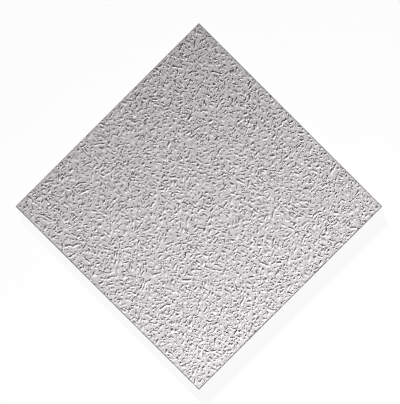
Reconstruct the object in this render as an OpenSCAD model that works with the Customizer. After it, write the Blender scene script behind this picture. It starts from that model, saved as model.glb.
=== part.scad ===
// Suspended ceiling tile: a square board of pressed mineral fibre for an exposed grid.
// It lies on its back with the fissured face up, which is the side seen from the room in use.
// The origin is the middle of the back, +Z points out of the face, and lengths are in millimetres.

/* [Board] */
// Side of the square board, 5 mm under the grid's 600 mm module
board_side = 595; // [295:5:625]
// Thickness of the board
board_t = 15; // [10:1:25]
// Width of the bevel along each edge of the face
bevel_w = 2; // [0.5:0.1:5]
// Depth of that bevel below the face
bevel_h = 0.7; // [0.5:0.1:5]

/* [Recesses] */
// Spacing of the recesses over the face
recess_pitch = 20; // [19:0.25:40]
// Share of the recesses that are long fissures, where the rest are pits
fissure_share = 0.07; // [0:0.01:0.3]
// Mouth width of the narrowest stretch of a recess
mouth_narrow = 4.4; // [2:0.1:6]
// Mouth width of the widest stretch of a recess
mouth_wide = 8.4; // [4:0.1:11]
// Depth of the shallowest recess
recess_shallow = 1; // [0.5:0.1:2]
// Depth of the deepest recess
recess_deep = 2.2; // [1:0.1:4]
// Another number gives another pattern
pattern_seed = 4100; // [0:1:9999]

/* [Pits] */
// Length of the shortest pit
pit_shortest = 6; // [4:0.5:12]
// Length of the longest pit
pit_longest = 16; // [8:0.5:20]

/* [Fissures] */
// Length of the shortest fissure
fissure_shortest = 18; // [12:1:24]
// Length of the longest fissure
fissure_longest = 34; // [20:1:50]
// Length of the straight runs between the bends of a fissure
run_length = 7; // [6:0.5:15]
// Most that a bend stands off the fissure's own line
bend_offset = 3; // [0:0.5:6]

/* [Hidden] */
// The face is divided into square cells with one recess in each, anywhere in its cell.
cells = round(board_side / recess_pitch);
cell = board_side / cells;
// Each cutter rises above the face by this share of its own depth, so no two tops are level.
overcut = 0.15;
// Most that the deepest point of a pit lies off its middle, as a share of its length
keel_drift = 0.2;
// Width of a fissure's blunt ends, as a share of its narrowest stretch
tip_share = 0.5;
// Bends that the longest fissure can have
most_bends = bends_in(fissure_longest);

// The bends in a fissure of a given length, with at least two.
function bends_in(length) = max(2, round(length / run_length) - 1);

// The value at a share u of the way from low to high.
function between(low, high, u) = low + (high - low) * u;

// Half of a mouth width drawn by a share u.
function half_mouth(u) = between(mouth_narrow, mouth_wide, u) / 2;

// A point of the mouth, carried on along the wall that rises to it from the keel to the top of the cutter.
function lifted(point, keel) = [
    between(keel.x, point.x, 1 + overcut),
    between(keel.y, point.y, 1 + overcut),
    between(keel.z, 0, 1 + overcut)
];

// Section of the board across either of its directions, with the two bevels at the face.
module board_section() {
    half = board_side / 2;
    polygon([
        [-half, 0], [half, 0], [half, board_t - bevel_h], [half - bevel_w, board_t],
        [bevel_w - half, board_t], [-half, board_t - bevel_h]
    ]);
}

// The plain board: the same section run along both directions, so the bevels meet in mitres.
module board() {
    intersection() {
        rotate([90, 0, 0]) linear_extrude(board_side, center = true) board_section();
        rotate([90, 0, 90]) linear_extrude(board_side, center = true) board_section();
    }
}

// Cutter for one pit along X, with its mouth at z = 0: four walls that fall from a mouth with four
// corners, of its own width at each end, to one deepest point.
module pit(length, depth, draws) {
    near = half_mouth(draws[0]);
    far = half_mouth(draws[1]);
    keel = [length * between(-keel_drift, keel_drift, draws[2]), 0, -depth];
    mouth = [[-length / 2, -near], [length / 2, -far], [length / 2, far], [-length / 2, near]];
    polyhedron(
        concat([for (corner = mouth) lifted(corner, keel)], [keel]),
        [[3, 2, 1, 0], [0, 1, 4], [1, 2, 4], [2, 3, 4], [3, 0, 4]]
    );
}

// Cutter for one fissure along X, with its mouth at z = 0: a bent V-shaped groove with blunt ends.
module fissure(length, depth, draws) {
    bends = bends_in(length);
    keel = [
        for (k = [0 : bends - 1]) [
            length * ((k + 1) / (bends + 1) - 0.5), between(-bend_offset, bend_offset, draws[k]), -depth
        ]
    ];
    halves = [for (k = [0 : bends - 1]) half_mouth(draws[most_bends + k])];
    tip = tip_share * mouth_narrow / 2;
    // The mouth's two lines from end to end, right and left of the keel
    lines = [
        for (side = [-1, 1]) concat(
            [lifted([-length / 2, side * tip], keel[0])],
            [for (k = [0 : bends - 1]) lifted([keel[k].x, keel[k].y + side * halves[k]], keel[k])],
            [lifted([length / 2, side * tip], keel[bends - 1])]
        )
    ];
    // Where the left line and the keel start in the list of all points, and their last points
    l = bends + 2;
    k = 2 * l;
    last = bends + 1;
    end = k + bends - 1;
    tops = [for (i = [0 : bends]) each [[i, l + i, l + i + 1], [i, l + i + 1, i + 1]]];
    ends = [
        [l, 0, k], [0, 1, k], [l + 1, l, k],
        [last, l + last, end], [last - 1, last, end], [l + last, l + last - 1, end]
    ];
    runs = [
        for (i = [1 : bends - 1]) each [
            [i, i + 1, k + i], [i, k + i, k + i - 1],
            [l + i, k + i - 1, k + i], [l + i, k + i, l + i + 1]
        ]
    ];
    polyhedron(concat(lines[0], lines[1], keel), concat(tops, ends, runs));
}

// One recess with its kind, length, depth and turn drawn by chance from the number of its cell.
module recess(number) {
    kind = rands(0, 1, 4, pattern_seed + 2 * number);
    draws = rands(0, 1, 2 * most_bends, pattern_seed + 2 * number + 1);
    depth = between(recess_shallow, recess_deep, kind[1]);
    rotate(360 * kind[2]) {
        if (kind[0] < fissure_share)
            fissure(between(fissure_shortest, fissure_longest, kind[3]), depth, draws);
        else
            pit(between(pit_shortest, pit_longest, kind[3]), depth, draws);
    }
}

// All recesses, one to a cell. Those near the edge run out over the bevel.
module recesses() {
    for (row = [0 : cells - 1], column = [0 : cells - 1]) {
        number = row * cells + column;
        place = rands(0, 1, 2, pattern_seed - 1 - number);
        translate([
            (column + place[0]) * cell - board_side / 2,
            (row + place[1]) * cell - board_side / 2,
            board_t
        ]) recess(number);
    }
}

// The tile in one piece: the board with the recesses cut into its face.
module tile() {
    color("gainsboro") difference() {
        board();
        recesses();
    }
}

tile();
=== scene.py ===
"""Looks of a suspended ceiling tile, built around its solid.

The face is read off the solid, so each pit and fissure stays where it was cut, with its outline made to
wander as in pressed fibre. Small pits are pressed into the land between them. The face is painted, and the
bevel, the sides and the back are bare board.
"""

import math

import bmesh
import bpy
import numpy as np
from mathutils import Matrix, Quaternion, Vector
from mathutils.bvhtree import BVHTree


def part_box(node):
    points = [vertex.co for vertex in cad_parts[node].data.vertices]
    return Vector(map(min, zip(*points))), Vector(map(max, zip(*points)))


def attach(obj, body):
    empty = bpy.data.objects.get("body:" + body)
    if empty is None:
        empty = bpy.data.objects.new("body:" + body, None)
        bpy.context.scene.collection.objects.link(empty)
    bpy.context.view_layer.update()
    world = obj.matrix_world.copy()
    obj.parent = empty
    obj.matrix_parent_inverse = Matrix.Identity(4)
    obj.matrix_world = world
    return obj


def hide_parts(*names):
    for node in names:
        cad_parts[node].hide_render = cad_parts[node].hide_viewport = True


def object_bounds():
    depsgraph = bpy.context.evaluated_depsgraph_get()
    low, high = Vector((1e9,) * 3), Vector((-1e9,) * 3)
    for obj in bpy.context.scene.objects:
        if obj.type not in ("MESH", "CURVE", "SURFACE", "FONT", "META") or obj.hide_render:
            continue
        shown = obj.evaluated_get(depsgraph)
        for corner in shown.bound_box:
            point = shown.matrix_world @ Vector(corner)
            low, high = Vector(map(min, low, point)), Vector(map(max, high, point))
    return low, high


bl_info = {
    "name": "Suspended Ceiling Tile",
    "version": (1, 0, 0),
    "blender": (4, 5, 0),
    "location": "3D View > Sidebar > Ceiling Tile",
    "description": "Builds a ceiling tile with its pitted face, edges and back, and a stage to show it on",
    "category": "Object",
}

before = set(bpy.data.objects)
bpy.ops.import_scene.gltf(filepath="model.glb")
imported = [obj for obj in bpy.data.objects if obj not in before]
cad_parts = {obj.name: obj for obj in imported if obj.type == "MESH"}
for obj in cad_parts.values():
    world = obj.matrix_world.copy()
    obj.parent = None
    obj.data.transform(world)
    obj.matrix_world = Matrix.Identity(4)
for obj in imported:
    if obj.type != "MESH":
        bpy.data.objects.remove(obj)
CAD_LOW, CAD_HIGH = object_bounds()
NODE = "tile"

# The photograph's frame, and where the tile lies in it, in pixels
PHOTO_WIDTH, PHOTO_HEIGHT = 400, 404
PHOTO_CENTRE = (198.9, 206.4)
PHOTO_HALF_DIAGONAL = 183.4
# Turn of the camera about its line of sight, which sets the tile on its corner as there
PHOTO_TURN = -math.pi / 4

# Signs of x and y at the corners of a square, and the axis and sign that its sides face, in order round it
CORNERS = np.array([(-1, -1), (1, -1), (1, 1), (-1, 1)])
SIDES = ((1, -1), (0, 1), (1, 1), (0, -1))

WHITE = (1.0, 1.0, 1.0, 1.0)


class FaceSettings(bpy.types.PropertyGroup):
    """Sizes of the relief on the face."""

    spacing: bpy.props.FloatProperty(
        name="Sample spacing",
        description="Distance between the samples of the face",
        default=0.0008,
        unit="LENGTH",
    )
    triangles: bpy.props.IntProperty(
        name="Triangles",
        description="Triangles left in the face once level ground is thinned out",
        default=194000,
    )
    wander: bpy.props.FloatProperty(
        name="Wander",
        description="How far the outlines of pits and fissures stray from their drawn lines",
        default=0.0006,
        unit="LENGTH",
    )
    wander_wave: bpy.props.FloatProperty(
        name="Wander wave",
        description="Distance over which an outline strays and comes back",
        default=0.0035,
        unit="LENGTH",
    )
    pit_pitch: bpy.props.FloatProperty(
        name="Pit pitch",
        description="Mean distance from one small pit to the next, were there room for all of them",
        default=0.0046,
        unit="LENGTH",
    )
    pit_longest: bpy.props.FloatProperty(
        name="Longest pit",
        description="Length of the longest pit, past its own width",
        default=0.013,
        unit="LENGTH",
    )
    pit_narrow: bpy.props.FloatProperty(
        name="Narrowest pit",
        description="Width of the narrowest pit",
        default=0.0019,
        unit="LENGTH",
    )
    pit_wide: bpy.props.FloatProperty(
        name="Widest pit",
        description="Width of the widest pit",
        default=0.0053,
        unit="LENGTH",
    )
    pit_shallow: bpy.props.FloatProperty(
        name="Shallowest pit",
        description="Depth of the shallowest pit",
        default=0.0013,
        unit="LENGTH",
    )
    pit_deep: bpy.props.FloatProperty(
        name="Deepest pit",
        description="Depth of the deepest pit",
        default=0.003,
        unit="LENGTH",
    )
    wall_curve: bpy.props.FloatProperty(
        name="Wall curve",
        description="Form of a pit's walls, from 1 for straight ones to 2 for a round bowl",
        default=1.4,
    )
    pit_margin: bpy.props.FloatProperty(
        name="Pit margin",
        description="Land wanted round a pit, as a share of half its width",
        default=0.5,
        subtype="FACTOR",
    )
    crumble: bpy.props.FloatProperty(
        name="Crumble",
        description="Share by which the depth of a recess varies along it",
        default=0.3,
        subtype="FACTOR",
    )
    seed: bpy.props.IntProperty(
        name="Seed",
        description="Another number gives other pits",
        default=7,
    )


class FinishSettings(bpy.types.PropertyGroup):
    """Colours and grain of the paint and of the bare board."""

    paint: bpy.props.FloatVectorProperty(
        name="Paint",
        description="Colour of the painted face",
        default=(0.592, 0.565, 0.573),
        subtype="COLOR",
    )
    raw: bpy.props.FloatVectorProperty(
        name="Raw board",
        description="Colour of the mineral fibre of the sides and the back",
        default=(0.27, 0.261, 0.252),
        subtype="COLOR",
    )
    # Darker fibre: in the bevel it makes a dark line round the face, and in the paint's pinholes it is bare
    # fibre and painted shade, as they have no depth
    dark_fibre_and_shade: bpy.props.FloatVectorProperty(
        name="Dark fibre and shade",
        description="Colour of the fibre that lies open in the bevel and in the pinholes of the paint",
        default=(0.184, 0.178, 0.172),
        subtype="COLOR",
    )
    cloud: bpy.props.FloatProperty(
        name="Cloud",
        description="Size of the faint clouds of tone in the paint",
        default=0.09,
        unit="LENGTH",
    )
    grain: bpy.props.FloatProperty(
        name="Grain",
        description="Size of the sandy grain in the paint",
        default=0.0025,
        unit="LENGTH",
    )
    grain_height: bpy.props.FloatProperty(
        name="Grain height",
        description="Height of the sandy grain in the paint",
        default=0.0003,
        unit="LENGTH",
    )
    # The pinholes are dark specks in the paint's colour, painted shade over bare fibre, with no depth in the
    # mesh
    pinhole: bpy.props.FloatProperty(
        name="Pinhole",
        description="Size of the noise whose peaks are the pinholes that the paint leaves open",
        default=0.0028,
        unit="LENGTH",
    )
    tuft: bpy.props.FloatProperty(
        name="Tuft",
        description="Size of the tufts in the bare board, and of the noise whose peaks are its pale specks",
        default=0.006,
        unit="LENGTH",
    )
    lump: bpy.props.FloatProperty(
        name="Lump",
        description="Size of the lumps in the bare board",
        default=0.018,
        unit="LENGTH",
    )
    blotch: bpy.props.FloatProperty(
        name="Blotch",
        description="Size of the blotches of tone in the bare board",
        default=0.075,
        unit="LENGTH",
    )
    felt_height: bpy.props.FloatProperty(
        name="Felt height",
        description="Height of the tufts and lumps in the bare board",
        default=0.0015,
        unit="LENGTH",
    )


class StageSettings(bpy.types.PropertyGroup):
    """Floor, lamps and camera."""

    floor: bpy.props.FloatVectorProperty(
        name="Floor",
        description="Colour of the floor",
        default=(0.9, 0.9, 0.9),
        subtype="COLOR",
    )
    floor_shade: bpy.props.FloatProperty(
        name="Floor shade",
        description="Share of the floor that shows light and shadow, where the rest is plain white",
        default=0.06,
        subtype="FACTOR",
    )
    key_azimuth: bpy.props.FloatProperty(
        name="Key azimuth",
        description="Direction that the key light comes from, turning from +X to +Y",
        default=math.radians(65),
        subtype="ANGLE",
    )
    key_elevation: bpy.props.FloatProperty(
        name="Key elevation",
        description="Height of the key light above the horizon",
        default=math.radians(18),
        subtype="ANGLE",
    )
    key_power: bpy.props.FloatProperty(
        name="Key power",
        description="Power of the key light",
        default=1560.0,
        unit="POWER",
    )
    fill_power: bpy.props.FloatProperty(
        name="Fill power",
        description="Power of the low light on the sides that the key light leaves dark",
        default=150.0,
        unit="POWER",
    )
    under_power: bpy.props.FloatProperty(
        name="Under power",
        description="Power of the light below the floor, on the back",
        default=200.0,
        unit="POWER",
    )
    ambient: bpy.props.FloatProperty(
        name="Ambient",
        description="Strength of the even light from all round",
        default=0.108,
        subtype="FACTOR",
    )
    ambient_colour: bpy.props.FloatVectorProperty(
        name="Ambient colour",
        description="Colour of the even light",
        default=(1.0, 0.97, 0.97),
        subtype="COLOR",
    )
    camera_height: bpy.props.FloatProperty(
        name="Camera height",
        description="Height of the camera above the face",
        default=3.0,
        unit="LENGTH",
    )


class Value:
    """A node's output, which takes part in plain arithmetic by adding Math nodes."""

    def __init__(self, sheet, socket):
        self.sheet = sheet
        self.socket = socket

    def __add__(self, other):
        return self.sheet.math("ADD", self, other)

    def __radd__(self, other):
        return self.sheet.math("ADD", other, self)

    def __mul__(self, other):
        return self.sheet.math("MULTIPLY", self, other)

    def __rmul__(self, other):
        return self.sheet.math("MULTIPLY", other, self)


class Sheet:
    """The node tree of a material or a world, cleared and ready to be filled."""

    SPECULAR = 0.08
    # Sockets of a Mix node for colours, whose names other kinds of value share
    MIX_AMOUNT, MIX_FIRST, MIX_SECOND, MIX_RESULT = 0, 6, 7, 2

    def __init__(self, owner):
        owner.use_nodes = True
        self.tree = owner.node_tree
        self.tree.nodes.clear()

    def add(self, kind, settings, sockets, output=0):
        """Adds a node, sets it up, fills its sockets with values or links, and gives one of its outputs."""
        node = self.tree.nodes.new(kind)
        for name, setting in settings.items():
            if name == "stops":
                self.set_stops(node.color_ramp, setting)
            else:
                setattr(node, name, setting)
        for name, content in sockets.items():
            if isinstance(content, Value):
                self.tree.links.new(content.socket, node.inputs[name])
            else:
                node.inputs[name].default_value = content
        return Value(self, node.outputs[output]) if len(node.outputs) else None

    @staticmethod
    def set_stops(ramp, stops):
        """Gives a new colour ramp, which has two stops, a position and a grey for each."""
        for element, (position, grey) in zip(ramp.elements, stops):
            element.position = position
            element.color = (grey, grey, grey, 1.0)

    def math(self, operation, first, second):
        """One step of arithmetic on two values."""
        return self.add("ShaderNodeMath", {"operation": operation}, {0: first, 1: second})

    def place(self):
        """Places in the tile's own frame, in which a pattern keeps its real size."""
        return self.add("ShaderNodeTexCoord", {}, {}, "Object")

    def noise(self, place, size, detail=2.0, swirl=0.0):
        """A cloudy pattern from 0 to 1, with features of about the given size that a swirl draws out."""
        sockets = {"Vector": place, "Scale": 1.0 / size, "Detail": detail, "Distortion": swirl}
        return self.add("ShaderNodeTexNoise", {}, sockets, "Fac")

    def stretched(self, value, span):
        """A value with the low end of a span taken to 0 and its high end to 1."""
        low, high = span
        stops = ((low, 0.0), (high, 1.0))
        return self.add("ShaderNodeValToRGB", {"stops": stops}, {"Fac": value}, "Color")

    def seen(self):
        """1 where a ray comes from the camera, or from a mirror or a glass in its view."""
        rays = ("Is Camera Ray", "Is Glossy Ray", "Is Transmission Ray")
        camera, glossy, transmission = (self.add("ShaderNodeLightPath", {}, {}, ray) for ray in rays)
        return camera + glossy + transmission

    def blend(self, amount, first, second):
        """A colour between two others, by an amount from 0 to 1."""
        sockets = {self.MIX_AMOUNT: amount, self.MIX_FIRST: first, self.MIX_SECOND: second}
        return self.add("ShaderNodeMix", {"data_type": "RGBA"}, sockets, self.MIX_RESULT)

    def bump(self, height, strength, distance):
        """A normal from a height, where a height of 1 stands out by the given distance."""
        sockets = {"Height": height, "Strength": strength, "Distance": distance}
        return self.add("ShaderNodeBump", {}, sockets, "Normal")

    def surface(self, colour, roughness, normal):
        """Ends a material in one matt shader."""
        sockets = {
            "Base Color": colour,
            "Roughness": roughness,
            "Normal": normal,
            "Specular IOR Level": self.SPECULAR,
        }
        shader = self.add("ShaderNodeBsdfPrincipled", {}, sockets, "BSDF")
        self.add("ShaderNodeOutputMaterial", {}, {"Surface": shader})


def opaque(colour, share=1.0):
    """A colour with each channel times a share, as the four numbers of a socket."""
    return tuple(channel * share for channel in colour) + (1.0,)


class PaintedFace:
    """Matt paint sprayed over the pressed face, with a sandy grain, faint clouds of tone, and pinholes that
    are dark specks in the colour only: bare fibre and painted shade.
    """

    # Share by which the tone goes darker and lighter, and what the clouds have of that beside the grain
    TONE_SPREAD = 0.13
    CLOUD_SHARE = 0.3
    # Spans of their noise over which grain and pinholes come up
    GRAIN_SPAN = (0.3, 0.7)
    PINHOLE_SPAN = (0.66, 0.72)
    # Share of the darker fibre's colour in a pinhole, as bare fibre and as painted shade, for the pinholes
    # have no depth of their own
    PINHOLE_SHADE = 0.7
    GRAIN_BUMP = 1.0
    # Roughness between grains, and what a full grain adds to it
    ROUGHNESS = 0.85
    GRAIN_ROUGHNESS = 0.12

    def make(self, finish):
        material = bpy.data.materials.new("painted_face")
        sheet = Sheet(material)
        place = sheet.place()
        clouds = sheet.noise(place, finish.cloud)
        sand = sheet.noise(place, finish.grain, detail=3.0)
        grain = sheet.stretched(sand, self.GRAIN_SPAN)
        pinhole_shade = sheet.stretched(sheet.noise(place, finish.pinhole, detail=0.0), self.PINHOLE_SPAN)
        tone = self.CLOUD_SHARE * clouds + (1 - self.CLOUD_SHARE) * grain
        dark = opaque(finish.paint, 1 - self.TONE_SPREAD)
        pale = opaque(finish.paint, 1 + self.TONE_SPREAD)
        coat = sheet.blend(tone, dark, pale)
        # The pinholes darken the paint towards the darker fibre: painted shade, as the face has no pits for
        # them
        colour = sheet.blend(self.PINHOLE_SHADE * pinhole_shade, coat, opaque(finish.dark_fibre_and_shade))
        normal = sheet.bump(sand, self.GRAIN_BUMP, finish.grain_height)
        sheet.surface(colour, self.ROUGHNESS + self.GRAIN_ROUGHNESS * sand, normal)
        return material


class BareBoard:
    """Mineral fibre where the board was cut: felted tufts and lumps, blotches of tone and pale specks."""

    # Spans of their noise over which tufts, lumps and blotches, and specks come up
    TUFT_SPAN = (0.3, 0.7)
    LUMP_SPAN = (0.35, 0.65)
    SPECK_SPAN = (0.68, 0.74)
    TUFT_SWIRL = 1.5
    # Shares of tufts, lumps and blotches in the tone
    TUFT_TONE, LUMP_TONE, BLOTCH_TONE = 0.45, 0.3, 0.25
    # The darkest and palest tone and that of a speck, as shares of the board's colour
    DARK, PALE, SPECK = 0.55, 1.4, 1.75
    SPECK_STRENGTH = 0.6
    # Share of the tufts in the height, where the lumps have the rest
    TUFT_RISE = 0.7
    FELT_BUMP = 0.9
    ROUGHNESS = 0.95

    def make(self, name, shade, finish):
        material = bpy.data.materials.new(name)
        sheet = Sheet(material)
        place = sheet.place()
        felt = sheet.noise(place, finish.tuft, detail=3.0, swirl=self.TUFT_SWIRL)
        tufts = sheet.stretched(felt, self.TUFT_SPAN)
        lumps = sheet.stretched(sheet.noise(place, finish.lump), self.LUMP_SPAN)
        blotches = sheet.stretched(sheet.noise(place, finish.blotch), self.LUMP_SPAN)
        specks = sheet.stretched(sheet.noise(place, finish.tuft, detail=0.0), self.SPECK_SPAN)
        tone = self.TUFT_TONE * tufts + self.LUMP_TONE * lumps + self.BLOTCH_TONE * blotches
        base = sheet.blend(tone, opaque(shade, self.DARK), opaque(shade, self.PALE))
        colour = sheet.blend(self.SPECK_STRENGTH * specks, base, opaque(shade, self.SPECK))
        height = self.TUFT_RISE * tufts + (1 - self.TUFT_RISE) * lumps
        normal = sheet.bump(height, self.FELT_BUMP, finish.felt_height)
        sheet.surface(colour, self.ROUGHNESS, normal)
        return material


def vectors_of(items, name):
    """A vector of each point or polygon of a mesh, as the rows of an array."""
    values = np.empty(3 * len(items), np.float32)
    items.foreach_get(name, values)
    return values.reshape(-1, 3)


def numbers_of(items, name):
    """A whole number of each corner or polygon of a mesh, as an array."""
    values = np.empty(len(items), np.int32)
    items.foreach_get(name, values)
    return values


def mesh_of(name, points, triangles):
    """A mesh from arrays of points and triangles."""
    mesh = bpy.data.meshes.new(name)
    mesh.vertices.add(len(points))
    mesh.vertices.foreach_set("co", points.astype(np.float32).ravel())
    mesh.loops.add(triangles.size)
    mesh.loops.foreach_set("vertex_index", triangles.astype(np.int32).ravel())
    mesh.polygons.add(len(triangles))
    mesh.polygons.foreach_set("loop_start", np.arange(0, triangles.size, 3, dtype=np.int32))
    mesh.update(calc_edges=True)
    return mesh


def new_object(name, data):
    """An object in the scene that shows the given data."""
    made = bpy.data.objects.new(name, data)
    bpy.context.scene.collection.objects.link(made)
    return made


def thinned(mesh, triangles):
    """A copy of a mesh with about that many triangles, few of them on level ground."""
    carrier = new_object("carrier", mesh)
    thinner = carrier.modifiers.new("thin", "DECIMATE")
    thinner.ratio = triangles / len(mesh.polygons)
    graph = bpy.context.evaluated_depsgraph_get()
    result = bpy.data.meshes.new_from_object(carrier.evaluated_get(graph))
    bpy.data.objects.remove(carrier)
    bpy.data.meshes.remove(mesh)
    return result


def drift(axis, wave, rng):
    """A smooth random field from -1 to 1 over the square of an axis, with hills about one wave apart."""
    place = (axis - axis[0]) / wave
    cell = place.astype(int)
    lattice = rng.uniform(-1, 1, (cell[-1] + 2, cell[-1] + 2))
    part = place - cell
    ease = part * part * (3 - 2 * part)
    rows = lattice[cell] * (1 - ease)[:, None] + lattice[cell + 1] * ease[:, None]
    return rows[:, cell] * (1 - ease) + rows[:, cell + 1] * ease


class Relief:
    """The heights of the face on a square grid, from the solid and then from chance."""

    # Samples across the bevel, with one on either edge of it
    BEVEL_STEPS = 3
    # Lengths under this count as none
    EDGE_MARGIN = 1e-6
    # Share of a pit's ground that other recesses may take before it is left out
    CROWDED = 0.12
    # Power on the draw of a pit's length, which makes most pits short
    SHORTENING = 2

    def __init__(self, solid, face):
        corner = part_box(NODE)[1]
        self.face = face
        self.half = corner.x
        self.top = corner.z
        points = vectors_of(solid.data.vertices, "co")
        level = points[points[:, 2] > self.top - self.EDGE_MARGIN]
        self.land_half = float(np.abs(level[:, :2]).max())
        self.rng = np.random.default_rng(face.seed)
        self.axis = self.sample_axis()
        self.x, self.y = np.meshgrid(self.axis, self.axis)
        self.look_x, self.look_y = self.strayed()
        self.heights = self.read_solid(solid)

    def sample_axis(self):
        """Sample places along one side, with some on the bevel at either end."""
        count = round(2 * self.land_half / self.face.spacing) + 1
        land = np.linspace(-self.land_half, self.land_half, count)
        bevel = np.linspace(self.land_half, self.half, self.BEVEL_STEPS)[1:]
        return np.concatenate((-bevel[::-1], land, bevel))

    def strayed(self):
        """Where each sample looks on the solid: near its own place, and straight below it at the edges."""
        inset = self.half - np.maximum(np.abs(self.x), np.abs(self.y))
        calm = np.clip(inset / self.face.wander_wave, 0, 1) * self.face.wander
        look_x = self.x + calm * drift(self.axis, self.face.wander_wave, self.rng)
        look_y = self.y + calm * drift(self.axis, self.face.wander_wave, self.rng)
        return look_x, look_y

    def read_solid(self, solid):
        """The height of the solid below each look."""
        tree = BVHTree.FromObject(solid, bpy.context.evaluated_depsgraph_get())
        inside = self.half - self.EDGE_MARGIN
        places = np.clip(np.stack((self.look_x, self.look_y), -1).reshape(-1, 2), -inside, inside)
        above = 2 * self.top
        down = Vector((0, 0, -1))
        heights = [tree.ray_cast((x, y, above), down)[0].z for x, y in places.tolist()]
        return np.array(heights).reshape(self.x.shape)

    def press_pits(self):
        """Presses small pits, from round holes to short dashes, anywhere on the face that has room."""
        face = self.face
        for _ in range(round((2 * self.half / face.pit_pitch) ** 2)):
            centre = self.rng.uniform(-self.half, self.half, 2)
            turn = self.rng.uniform(0, math.pi)
            run = face.pit_longest * self.rng.uniform() ** self.SHORTENING
            half_width = self.rng.uniform(face.pit_narrow, face.pit_wide) / 2
            depth = self.rng.uniform(face.pit_shallow, face.pit_deep)
            window, reach = self.footprint(centre, turn, run, half_width)
            if self.crowding(window, reach) < self.CROWDED:
                hollow = self.top - depth * np.clip(1 - reach ** face.wall_curve, 0, 1)
                self.heights[window] = np.minimum(self.heights[window], hollow)

    def footprint(self, centre, turn, run, half_width):
        """The window of samples round a pit, and how far each lies from its middle line, in half widths."""
        reach = run / 2 + half_width * (1 + self.face.pit_margin) + self.face.wander
        first_x, last_x = np.searchsorted(self.axis, (centre[0] - reach, centre[0] + reach))
        first_y, last_y = np.searchsorted(self.axis, (centre[1] - reach, centre[1] + reach))
        window = np.s_[first_y:last_y, first_x:last_x]
        dx = self.look_x[window] - centre[0]
        dy = self.look_y[window] - centre[1]
        along = dx * math.cos(turn) + dy * math.sin(turn)
        across = dy * math.cos(turn) - dx * math.sin(turn)
        past_end = np.maximum(np.abs(along) - run / 2, 0)
        return window, np.hypot(past_end, across) / half_width

    def crowding(self, window, reach):
        """The share of a pit's ground, with the land wanted round it, that other recesses take."""
        ground = reach < 1 + self.face.pit_margin
        taken = ground & (self.heights[window] < self.top - self.EDGE_MARGIN)
        return np.count_nonzero(taken) / max(1, np.count_nonzero(ground))

    def crumble(self):
        """Makes the recesses uneven along their length."""
        uneven = 1 + self.face.crumble * drift(self.axis, self.face.wander_wave, self.rng)
        land = np.maximum(np.abs(self.x), np.abs(self.y)) < self.land_half
        depth = (self.top - self.heights) * np.where(land, uneven, 1)
        self.heights = self.top - depth

    def mesh(self):
        """The face as a triangle mesh, each cell cut along the diagonal that runs more level."""
        count = len(self.axis)
        number = np.arange(count * count).reshape(count, count)
        # The corners of each cell, in order round it
        a, b = number[:-1, :-1].ravel(), number[:-1, 1:].ravel()
        d, c = number[1:, :-1].ravel(), number[1:, 1:].ravel()
        height = self.heights.ravel()
        cut_bd = np.abs(height[b] - height[d]) < np.abs(height[a] - height[c])
        lower = np.where(cut_bd[:, None], np.stack((a, b, d), 1), np.stack((a, b, c), 1))
        upper = np.where(cut_bd[:, None], np.stack((b, c, d), 1), np.stack((a, c, d), 1))
        points = np.stack((self.x, self.y, self.heights), -1).reshape(-1, 3)
        return mesh_of("face", points, np.concatenate((lower, upper)))


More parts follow.
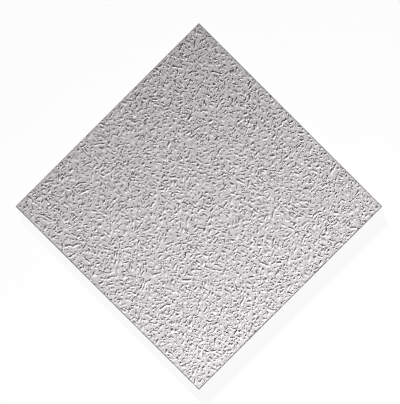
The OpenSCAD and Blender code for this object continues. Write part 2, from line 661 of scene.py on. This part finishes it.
class Board:
    """The tile as one closed mesh, made from its thinned face."""

    # Slots for the paint, the bare board, and the darker bevel that draws a dark line round the face
    PAINT, RAW, WORN = 0, 1, 2
    # Part of a unit normal along an axis from which a polygon counts as square to that axis
    LEVEL = 0.999
    SHARP_ANGLE = math.radians(30)
    # How far in from a side a border point still belongs to it
    RIM_MARGIN = 1e-4
    # Sides of the face and the back on the map, and the gap between charts, as shares of the map
    FACE_CHART, BACK_CHART, CHART_GAP = 0.7, 0.27, 0.008

    def __init__(self, relief, face_mesh):
        self.relief = relief
        self.mesh = face_mesh
        self.fit_box()
        self.close()
        self.dress()
        self.unwrap()

    def fit_box(self):
        """Brings points that thinning moved past the solid's box back to it."""
        points = np.clip(vectors_of(self.mesh.vertices, "co"), tuple(CAD_LOW), tuple(CAD_HIGH))
        self.mesh.vertices.foreach_set("co", points.ravel())

    def close(self):
        """Adds the four sides, each one flat polygon under its stretch of the border, and the back."""
        work = bmesh.new()
        work.from_mesh(self.mesh)
        rim = {vert for edge in work.edges if edge.is_boundary for vert in edge.verts}
        half = self.relief.half
        feet = [work.verts.new((*(half * corner), CAD_LOW.z)) for corner in CORNERS]
        for foot, next_foot, (axis, sign) in zip(feet, feet[1:] + feet[:1], SIDES):
            side = [vert for vert in rim if sign * vert.co[axis] > half - self.RIM_MARGIN]
            for vert in side:
                vert.co[axis] = sign * half
            onward = next_foot.co - foot.co
            side.sort(key=lambda vert, way=onward: way.dot(vert.co), reverse=True)
            work.faces.new([foot, next_foot, *side])
        work.faces.new(feet[::-1])
        work.to_mesh(self.mesh)
        work.free()

    def dress(self):
        """Paints the land and its recesses, gives the bevel the darker fibre for a dark line round the face,
        leaves the rest bare, and shades what is level as flat.
        """
        polygons = self.mesh.polygons
        normals = vectors_of(polygons, "normal")
        upward = normals[:, 2] > 0
        land = np.abs(vectors_of(polygons, "center")[:, :2]).max(1) < self.relief.land_half
        slots = np.select((upward & land, upward), (self.PAINT, self.WORN), self.RAW)
        polygons.foreach_set("material_index", slots.astype(np.int32))
        self.mesh.set_sharp_from_angle(angle=self.SHARP_ANGLE)
        polygons.foreach_set("use_smooth", np.abs(normals).max(1) < self.LEVEL)
        self.mesh.update()

    def unwrap(self):
        """Lays the face, the back and the four sides side by side on one map."""
        mesh = self.mesh
        corners = numbers_of(mesh.loops, "vertex_index")
        x, y, z = vectors_of(mesh.vertices, "co")[corners].T
        corner_counts = numbers_of(mesh.polygons, "loop_total")
        facing = np.repeat(vectors_of(mesh.polygons, "normal"), corner_counts, axis=0)
        half = self.relief.half
        scale = self.FACE_CHART / (2 * half)
        gap = self.CHART_GAP
        u = gap + scale * (x + half)
        v = gap + scale * (y + half)
        back = facing[:, 2] < -self.LEVEL
        back_scale = self.BACK_CHART / (2 * half)
        beside = 1 - gap - self.BACK_CHART
        u[back] = beside + back_scale * (half - x[back])
        v[back] = gap + back_scale * (y[back] + half)
        strip = 2 * gap + self.FACE_CHART
        for axis, sign in SIDES:
            side = sign * facing[:, axis] > self.LEVEL
            along = (x, y)[1 - axis]
            u[side] = gap + scale * (along[side] + half)
            v[side] = strip + scale * (z[side] - CAD_LOW.z)
            strip += scale * (CAD_HIGH.z - CAD_LOW.z) + gap
        layer = mesh.uv_layers.new(name="OFBake")
        layer.data.foreach_set("uv", np.stack((u, v), 1).astype(np.float32).ravel())


class BuildTile(bpy.types.Operator):
    """Build the tile with its pitted and fissured face, bevel, sides and back"""

    bl_idname = "ceiling_tile.build_tile"
    bl_label = "Build Tile"

    def execute(self, context):
        face = context.scene.tile_face
        finish = context.scene.tile_finish
        relief = Relief(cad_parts[NODE], face)
        relief.press_pits()
        relief.crumble()
        mesh = Board(relief, thinned(relief.mesh(), face.triangles)).mesh
        mesh.name = "tile_board"
        # In the order of the board's slots
        mesh.materials.append(PaintedFace().make(finish))
        mesh.materials.append(BareBoard().make("raw_board", finish.raw, finish))
        # The bevel takes the darker fibre, which draws a dark line round the face
        mesh.materials.append(BareBoard().make("dark_bevel", finish.dark_fibre_and_shade, finish))
        tile = new_object("tile_board", mesh)
        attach(tile, "root")
        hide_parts(NODE)
        return {"FINISHED"}


class BuildStage(bpy.types.Operator):
    """Build the floor, the lamps and the camera above the tile"""

    bl_idname = "ceiling_tile.build_stage"
    bl_label = "Build Stage"

    FLOOR_HALF = 6.0
    KEY_DISTANCE = 24.0
    KEY_SIZE = 0.6
    # Full width of the key light's beam, and how far above the tile it is aimed
    BEAM_ANGLE = math.radians(17.45)
    BEAM_LEAN = math.radians(8)
    FILL_DISTANCE = 6.0
    FILL_SIZE = 0.2
    UNDER_DISTANCE = 4.0
    UNDER_SIZE = 0.6
    UNDER_ELEVATION = math.radians(-50)

    def execute(self, context):
        stage = context.scene.tile_stage
        self.lay_floor(stage)
        self.light_room(context.scene, stage)
        self.hang_key(stage)
        self.stand_fill(stage)
        self.light_back(stage)
        self.set_camera(context.scene, stage)
        return {"FINISHED"}

    def lay_floor(self, stage):
        """A plain pale floor, level with the tile's back and open below it, so that the back can be seen."""
        corners = np.concatenate((self.FLOOR_HALF * CORNERS, CAD_HIGH.x * CORNERS))
        points = np.column_stack((corners, np.full(len(corners), CAD_LOW.z)))
        outer = list(range(len(CORNERS)))
        triangles = []
        for a, b in zip(outer, outer[1:] + outer[:1]):
            c, d = b + len(CORNERS), a + len(CORNERS)
            triangles += [(a, b, c), (a, c, d)]
        mesh = mesh_of("floor", points, np.array(triangles))
        mesh.materials.append(self.floor_finish(stage))
        new_object("floor", mesh)

    @staticmethod
    def floor_finish(stage):
        """Plain white to the eye, with a share of the light and shadow that fall on it."""
        material = bpy.data.materials.new("floor")
        sheet = Sheet(material)
        lit = sheet.add("ShaderNodeBsdfDiffuse", {}, {"Color": opaque(stage.floor)}, "BSDF")
        white = sheet.add("ShaderNodeEmission", {}, {"Color": WHITE, "Strength": 1.0}, "Emission")
        white_share = (1 - stage.floor_shade) * sheet.seen()
        mix = sheet.add("ShaderNodeMixShader", {}, {0: white_share, 1: lit, 2: white})
        sheet.add("ShaderNodeOutputMaterial", {}, {"Surface": mix})
        return material

    @staticmethod
    def light_room(scene, stage):
        """Even light from all round, with plain white behind everything."""
        scene.world = bpy.data.worlds.new("room")
        sheet = Sheet(scene.world)
        even_light = {"Color": opaque(stage.ambient_colour), "Strength": stage.ambient}
        even = sheet.add("ShaderNodeBackground", {}, even_light, "Background")
        white = sheet.add("ShaderNodeBackground", {}, {"Color": WHITE, "Strength": 1.0}, "Background")
        mix = sheet.add("ShaderNodeMixShader", {}, {0: sheet.seen(), 1: even, 2: white})
        sheet.add("ShaderNodeOutputWorld", {}, {"Surface": mix})

    @staticmethod
    def direction(azimuth, elevation):
        """The way from the tile to something seen at an azimuth and an elevation."""
        flat = math.cos(elevation)
        return Vector((flat * math.cos(azimuth), flat * math.sin(azimuth), math.sin(elevation)))

    @staticmethod
    def place_lamp(name, size, power, place, back):
        """A round lamp at a place, with its back turned the given way."""
        lamp = bpy.data.lights.new(name, "AREA")
        lamp.shape = "DISK"
        lamp.size = size
        lamp.energy = power
        holder = new_object(name, lamp)
        holder.location = place
        holder.rotation_euler = back.to_track_quat("Z", "Y").to_euler()
        return lamp

    def hang_key(self, stage):
        """A low key light across the face, aimed past it so that its beam fades towards the near corner."""
        towards = self.direction(stage.key_azimuth, stage.key_elevation)
        sideways = Vector((0, 0, 1)).cross(towards).normalized()
        back = Quaternion(sideways, self.BEAM_LEAN) @ towards
        lamp = self.place_lamp("key", self.KEY_SIZE, stage.key_power, self.KEY_DISTANCE * towards, back)
        lamp.spread = self.BEAM_ANGLE

    def stand_fill(self, stage):
        """A small lamp on the floor across from the key light, too low to reach into the face."""
        across = -self.direction(stage.key_azimuth, 0)
        place = self.FILL_DISTANCE * across + Vector((0, 0, CAD_LOW.z + self.FILL_SIZE / 2))
        self.place_lamp("fill", self.FILL_SIZE, stage.fill_power, place, across)

    def light_back(self, stage):
        """A lamp below the floor, which lights the tile's back through the opening there."""
        below = self.direction(stage.key_azimuth, self.UNDER_ELEVATION)
        self.place_lamp("under", self.UNDER_SIZE, stage.under_power, self.UNDER_DISTANCE * below, below)

    @staticmethod
    def set_camera(scene, stage):
        """A camera straight above, turned so that the tile stands on its corner as in the photograph."""
        camera = bpy.data.cameras.new("camera")
        view = new_object("camera", camera)
        pixel = math.hypot(CAD_HIGH.x, CAD_HIGH.y) / PHOTO_HALF_DIAGONAL
        camera.lens = camera.sensor_width * stage.camera_height / (PHOTO_HEIGHT * pixel)
        right = Vector((math.cos(PHOTO_TURN), math.sin(PHOTO_TURN), 0))
        up = Vector((-math.sin(PHOTO_TURN), math.cos(PHOTO_TURN), 0))
        off_right = (PHOTO_WIDTH / 2 - PHOTO_CENTRE[0]) * pixel
        off_up = (PHOTO_CENTRE[1] - PHOTO_HEIGHT / 2) * pixel
        height = Vector((0, 0, CAD_HIGH.z + stage.camera_height))
        view.location = height + off_right * right + off_up * up
        view.rotation_euler = (0, 0, PHOTO_TURN)
        scene.camera = view
        scene.view_settings.view_transform = "Standard"


class TilePanel(bpy.types.Panel):
    """Sidebar panel with the steps of the tile and its stage"""

    bl_idname = "VIEW3D_PT_ceiling_tile"
    bl_label = "Ceiling Tile"
    bl_space_type = "VIEW_3D"
    bl_region_type = "UI"
    bl_category = "Ceiling Tile"

    def draw(self, context):
        layout = self.layout
        for operator in (BuildTile, BuildStage):
            layout.operator(operator.bl_idname)
        for settings in (context.scene.tile_face, context.scene.tile_finish, context.scene.tile_stage):
            box = layout.box()
            for name in settings.__annotations__:
                box.prop(settings, name)


CLASSES = (FaceSettings, FinishSettings, StageSettings, BuildTile, BuildStage, TilePanel)


def register():
    for each in CLASSES:
        bpy.utils.register_class(each)
    bpy.types.Scene.tile_face = bpy.props.PointerProperty(type=FaceSettings)
    bpy.types.Scene.tile_finish = bpy.props.PointerProperty(type=FinishSettings)
    bpy.types.Scene.tile_stage = bpy.props.PointerProperty(type=StageSettings)


def unregister():
    del bpy.types.Scene.tile_stage
    del bpy.types.Scene.tile_finish
    del bpy.types.Scene.tile_face
    for each in reversed(CLASSES):
        bpy.utils.unregister_class(each)


def main():
    register()
    bpy.ops.ceiling_tile.build_tile()
    bpy.ops.ceiling_tile.build_stage()


if __name__ == "__main__":
    main()
